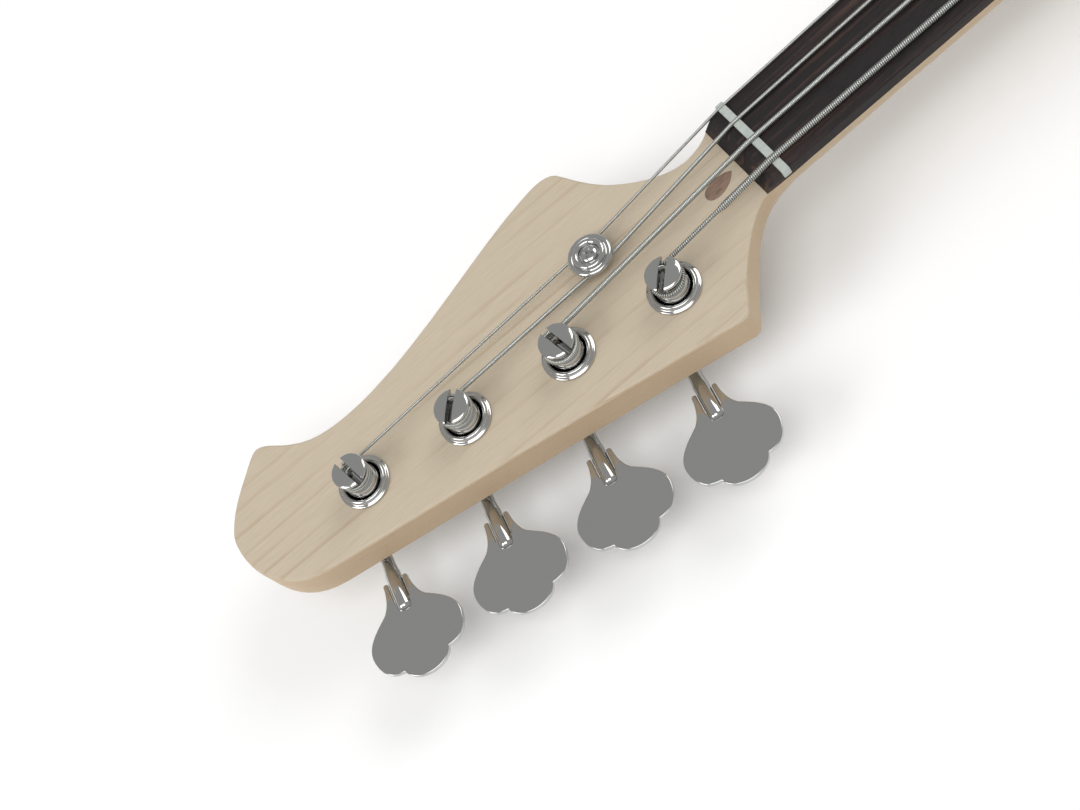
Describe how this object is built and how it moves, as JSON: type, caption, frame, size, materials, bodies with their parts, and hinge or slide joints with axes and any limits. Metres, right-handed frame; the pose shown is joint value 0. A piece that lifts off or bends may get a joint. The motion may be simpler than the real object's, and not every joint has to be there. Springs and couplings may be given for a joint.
{
  "type": "fretless bass guitar",
  "caption": "Solid-body fretless electric bass guitar with worm-geared tuning machines, unlined rosewood board, double-cutaway body and sliding bridge saddles.",
  "frame": {"origin": "On the flat back of the body, on the centre line, under the saddle line", "axes": "+X along the neck to the headstock, +Y to the bass side, +Z out of the front; it lies on its back"},
  "size_m": [1.2137, 0.3247, 0.0622],
  "materials": {
    "body_ash": "satin clear lacquer over pale open-grained wood",
    "neck_maple": "satin oil over pale maple",
    "board_rosewood": "bare dark rosewood with red streaks",
    "plug_walnut": "satin brown walnut",
    "nut_bone": "smooth off-white",
    "chrome": "polished chrome",
    "gear_brass": "machined brass",
    "steel": "bare steel, wound on the strings",
    "black_plastic": "black, smooth"
  },
  "bodies": {
    "instrument": {"body": "body_ash", "neck": "neck_maple", "fingerboard": "board_rosewood", "nut": "nut_bone", "truss_rod": "steel", "skunk_stripe": "plug_walnut", "head_plug": "plug_walnut", "neck_plate": "chrome", "string_tree": "chrome", "string_tree_screw": "chrome", "bridge_plate": "chrome", "pickup_cover": "black_plastic", "pickup_coils": "black_plastic", "pickguard": "black_plastic", "control_plate": "chrome", "output_jack": "steel", "strap_button_tail": "chrome", "strap_button_horn": "chrome", "tuner_bushing_e": "chrome", "tuner_plate_e": "chrome", "string_e": "steel", "saddle_spring_e": "steel", "tuner_bushing_a": "chrome", "tuner_plate_a": "chrome", "string_a": "steel", "saddle_spring_a": "steel", "tuner_bushing_d": "chrome", "tuner_plate_d": "chrome", "string_d": "steel", "saddle_spring_d": "steel", "tuner_bushing_g": "chrome", "tuner_plate_g": "chrome", "string_g": "steel", "saddle_spring_g": "steel", "pot_1": "steel", "pot_2": "steel", "pot_3": "steel"},
    "key_e": {"tuning_key_e": "chrome"},
    "post_e": {"tuner_post_e": "chrome", "worm_wheel_e": "gear_brass"},
    "key_a": {"tuning_key_a": "chrome"},
    "post_a": {"tuner_post_a": "chrome", "worm_wheel_a": "gear_brass"},
    "key_d": {"tuning_key_d": "chrome"},
    "post_d": {"tuner_post_d": "chrome", "worm_wheel_d": "gear_brass"},
    "key_g": {"tuning_key_g": "chrome"},
    "post_g": {"tuner_post_g": "chrome", "worm_wheel_g": "gear_brass"},
    "saddle_slide_e": {"saddle_e": "chrome"},
    "saddle_drive_e": {"intonation_screw_e": "steel"},
    "saddle_slide_a": {"saddle_a": "chrome"},
    "saddle_drive_a": {"intonation_screw_a": "steel"},
    "saddle_slide_d": {"saddle_d": "chrome"},
    "saddle_drive_d": {"intonation_screw_d": "steel"},
    "saddle_slide_g": {"saddle_g": "chrome"},
    "saddle_drive_g": {"intonation_screw_g": "steel"},
    "knob_body_1": {"knob_1": "chrome"},
    "knob_body_2": {"knob_2": "chrome"},
    "knob_body_3": {"knob_3": "chrome"}
  },
  "joints": [
    {"name": "key_e_turn", "type": "hinge", "parent": "instrument", "child": "key_e", "pos_m": [0.93449, 0.02136, 0.0236], "axis": [0.1942, 0.981, 0], "continuous": true},
    {"name": "post_e_turn", "type": "hinge", "parent": "instrument", "child": "post_e", "pos_m": [0.9237, 0.0235, 0.0457], "axis": [0, 0, 1], "continuous": true},
    {"name": "key_a_turn", "type": "hinge", "parent": "instrument", "child": "key_a", "pos_m": [0.97971, 0.01241, 0.0236], "axis": [0.1942, 0.981, 0], "continuous": true},
    {"name": "post_a_turn", "type": "hinge", "parent": "instrument", "child": "post_a", "pos_m": [0.96892, 0.01455, 0.0457], "axis": [0, 0, 1], "continuous": true},
    {"name": "key_d_turn", "type": "hinge", "parent": "instrument", "child": "key_d", "pos_m": [1.02493, 0.00346, 0.0236], "axis": [0.1942, 0.981, 0], "continuous": true},
    {"name": "post_d_turn", "type": "hinge", "parent": "instrument", "child": "post_d", "pos_m": [1.01414, 0.00559, 0.0457], "axis": [0, 0, 1], "continuous": true},
    {"name": "key_g_turn", "type": "hinge", "parent": "instrument", "child": "key_g", "pos_m": [1.07016, -0.0055, 0.0236], "axis": [0.1942, 0.981, 0], "continuous": true},
    {"name": "post_g_turn", "type": "hinge", "parent": "instrument", "child": "post_g", "pos_m": [1.05937, -0.00336, 0.0457], "axis": [0, 0, 1], "continuous": true},
    {"name": "saddle_e_travel", "type": "slide", "parent": "instrument", "child": "saddle_slide_e", "axis": [1, 0, 0], "range_m": [-0.003, 0.005], "deforming": ["saddle_spring_e"]},
    {"name": "intonation_screw_e_turn", "type": "hinge", "parent": "instrument", "child": "saddle_drive_e", "pos_m": [-0.036, 0.0285, 0.0479], "axis": [1, 0, 0], "range_deg": [-1543.9, 2572.4]},
    {"name": "saddle_a_travel", "type": "slide", "parent": "instrument", "child": "saddle_slide_a", "axis": [1, 0, 0], "range_m": [-0.003, 0.005], "deforming": ["saddle_spring_a"]},
    {"name": "intonation_screw_a_turn", "type": "hinge", "parent": "instrument", "child": "saddle_drive_a", "pos_m": [-0.036, 0.0095, 0.0479], "axis": [1, 0, 0], "range_deg": [-1543.9, 2572.4]},
    {"name": "saddle_d_travel", "type": "slide", "parent": "instrument", "child": "saddle_slide_d", "axis": [1, 0, 0], "range_m": [-0.003, 0.005], "deforming": ["saddle_spring_d"]},
    {"name": "intonation_screw_d_turn", "type": "hinge", "parent": "instrument", "child": "saddle_drive_d", "pos_m": [-0.036, -0.0095, 0.0479], "axis": [1, 0, 0], "range_deg": [-1543.9, 2572.4]},
    {"name": "saddle_g_travel", "type": "slide", "parent": "instrument", "child": "saddle_slide_g", "axis": [1, 0, 0], "range_m": [-0.003, 0.005], "deforming": ["saddle_spring_g"]},
    {"name": "intonation_screw_g_turn", "type": "hinge", "parent": "instrument", "child": "saddle_drive_g", "pos_m": [-0.036, -0.0285, 0.0479], "axis": [1, 0, 0], "range_deg": [-1543.9, 2572.4]},
    {"name": "knob_1_turn", "type": "hinge", "parent": "instrument", "child": "knob_body_1", "pos_m": [0.0824, -0.09681, 0.052], "axis": [0, 0, 1], "range_deg": [0, 270]},
    {"name": "knob_2_turn", "type": "hinge", "parent": "instrument", "child": "knob_body_2", "pos_m": [0.04649, -0.10577, 0.052], "axis": [0, 0, 1], "range_deg": [0, 270]},
    {"name": "knob_3_turn", "type": "hinge", "parent": "instrument", "child": "knob_body_3", "pos_m": [0.01059, -0.11472, 0.052], "axis": [0, 0, 1], "range_deg": [0, 270]}
  ],
  "couplings": [
    {"joint": "post_e_turn", "follows": "key_e_turn", "ratio": -0.05},
    {"joint": "post_a_turn", "follows": "key_a_turn", "ratio": -0.05},
    {"joint": "post_d_turn", "follows": "key_d_turn", "ratio": -0.05},
    {"joint": "post_g_turn", "follows": "key_g_turn", "ratio": -0.05},
    {"joint": "intonation_screw_e_turn", "follows": "saddle_e_travel", "rad_per_m": 8976},
    {"joint": "intonation_screw_a_turn", "follows": "saddle_a_travel", "rad_per_m": 8976},
    {"joint": "intonation_screw_d_turn", "follows": "saddle_d_travel", "rad_per_m": 8976},
    {"joint": "intonation_screw_g_turn", "follows": "saddle_g_travel", "rad_per_m": 8976}
  ]
}
